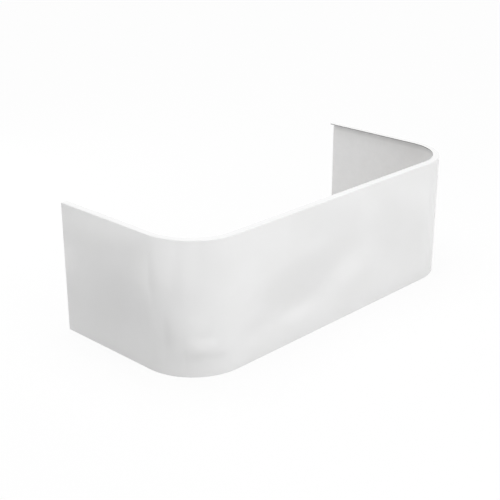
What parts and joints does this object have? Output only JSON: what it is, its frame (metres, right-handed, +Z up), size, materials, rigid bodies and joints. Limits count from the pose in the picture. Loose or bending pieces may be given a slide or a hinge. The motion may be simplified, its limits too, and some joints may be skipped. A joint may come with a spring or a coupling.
{
  "type": "bath panel",
  "caption": "Three-sided glossy bath panel with rounded corners, an inward top lip, bonded boards and rails behind it, levelling feet, and floor and wall brackets.",
  "frame": {"origin": "middle of the footprint, on the floor: halfway along the length and halfway between the wall and the front face", "axes": "+X along the length, to the right as seen from the front; +Y towards the wall; +Z up"},
  "size_m": [1.7, 0.75, 0.56],
  "materials": {
    "acrylic": "high gloss white",
    "laminate": "satin, faint glass-fibre strands",
    "strap": "resin-wetted glass-fibre mat",
    "board": "raw chipboard",
    "timber": "planed softwood",
    "plywood": "sanded plywood",
    "zinc": "galvanised",
    "screw_zinc": "bright zinc plate",
    "pad": "moulded nylon"
  },
  "bodies": {
    "panel": {"panel_shell": "acrylic", "backing_laminate": "laminate", "top_board": "board", "mid_board": "board", "board_straps": "strap", "rail_front": "timber", "rail_left": "timber", "rail_right": "timber", "rail_straps": "strap", "bottom_former_left": "plywood", "bottom_former_right": "plywood", "end_block_left": "plywood", "end_block_right": "plywood", "wall_bracket_left": "zinc", "wall_bracket_right": "zinc", "wall_bracket_screws": "screw_zinc", "floor_bracket_screws": "screw_zinc", "tee_nuts": "screw_zinc", "lock_nuts": "screw_zinc"},
    "pad_front_left": {"foot_pad_front_left": "pad"},
    "stud_front_left": {"foot_stud_front_left": "screw_zinc"},
    "bracket_front_left": {"floor_bracket_front_left": "zinc"},
    "pad_front_right": {"foot_pad_front_right": "pad"},
    "stud_front_right": {"foot_stud_front_right": "screw_zinc"},
    "bracket_front_right": {"floor_bracket_front_right": "zinc"},
    "pad_side_left": {"foot_pad_side_left": "pad"},
    "stud_side_left": {"foot_stud_side_left": "screw_zinc"},
    "bracket_side_left": {"floor_bracket_side_left": "zinc"},
    "pad_side_right": {"foot_pad_side_right": "pad"},
    "stud_side_right": {"foot_stud_side_right": "screw_zinc"},
    "bracket_side_right": {"floor_bracket_side_right": "zinc"}
  },
  "joints": [
    {"name": "foot_lower_front_left", "type": "slide", "parent": "panel", "child": "pad_front_left", "axis": [0, 0, -1], "range_m": [0, 0.02]},
    {"name": "foot_turn_front_left", "type": "hinge", "parent": "pad_front_left", "child": "stud_front_left", "pos_m": [-0.488, -0.35, 0.01], "axis": [0, 0, -1], "range_deg": [0, 5760]},
    {"name": "foot_lower_front_right", "type": "slide", "parent": "panel", "child": "pad_front_right", "axis": [0, 0, -1], "range_m": [0, 0.02]},
    {"name": "foot_turn_front_right", "type": "hinge", "parent": "pad_front_right", "child": "stud_front_right", "pos_m": [0.488, -0.35, 0.01], "axis": [0, 0, -1], "range_deg": [0, 5760]},
    {"name": "foot_lower_side_left", "type": "slide", "parent": "panel", "child": "pad_side_left", "axis": [0, 0, -1], "range_m": [0, 0.02]},
    {"name": "foot_turn_side_left", "type": "hinge", "parent": "pad_side_left", "child": "stud_side_left", "pos_m": [-0.825, 0.2526, 0.01], "axis": [0, 0, -1], "range_deg": [0, 5760]},
    {"name": "foot_lower_side_right", "type": "slide", "parent": "panel", "child": "pad_side_right", "axis": [0, 0, -1], "range_m": [0, 0.02]},
    {"name": "foot_turn_side_right", "type": "hinge", "parent": "pad_side_right", "child": "stud_side_right", "pos_m": [0.825, 0.2526, 0.01], "axis": [0, 0, -1], "range_deg": [0, 5760]},
    {"name": "bracket_lower_front_left", "type": "slide", "parent": "panel", "child": "bracket_front_left", "axis": [0, 0, -1], "range_m": [0, 0.02]},
    {"name": "bracket_lower_front_right", "type": "slide", "parent": "panel", "child": "bracket_front_right", "axis": [0, 0, -1], "range_m": [0, 0.02]},
    {"name": "bracket_lower_side_left", "type": "slide", "parent": "panel", "child": "bracket_side_left", "axis": [0, 0, -1], "range_m": [0, 0.02]},
    {"name": "bracket_lower_side_right", "type": "slide", "parent": "panel", "child": "bracket_side_right", "axis": [0, 0, -1], "range_m": [0, 0.02]}
  ],
  "couplings": [
    {"joint": "foot_turn_front_left", "follows": "foot_lower_front_left", "rad_per_m": 5026.5},
    {"joint": "foot_turn_front_right", "follows": "foot_lower_front_right", "rad_per_m": 5026.5},
    {"joint": "foot_turn_side_left", "follows": "foot_lower_side_left", "rad_per_m": 5026.5},
    {"joint": "foot_turn_side_right", "follows": "foot_lower_side_right", "rad_per_m": 5026.5}
  ]
}
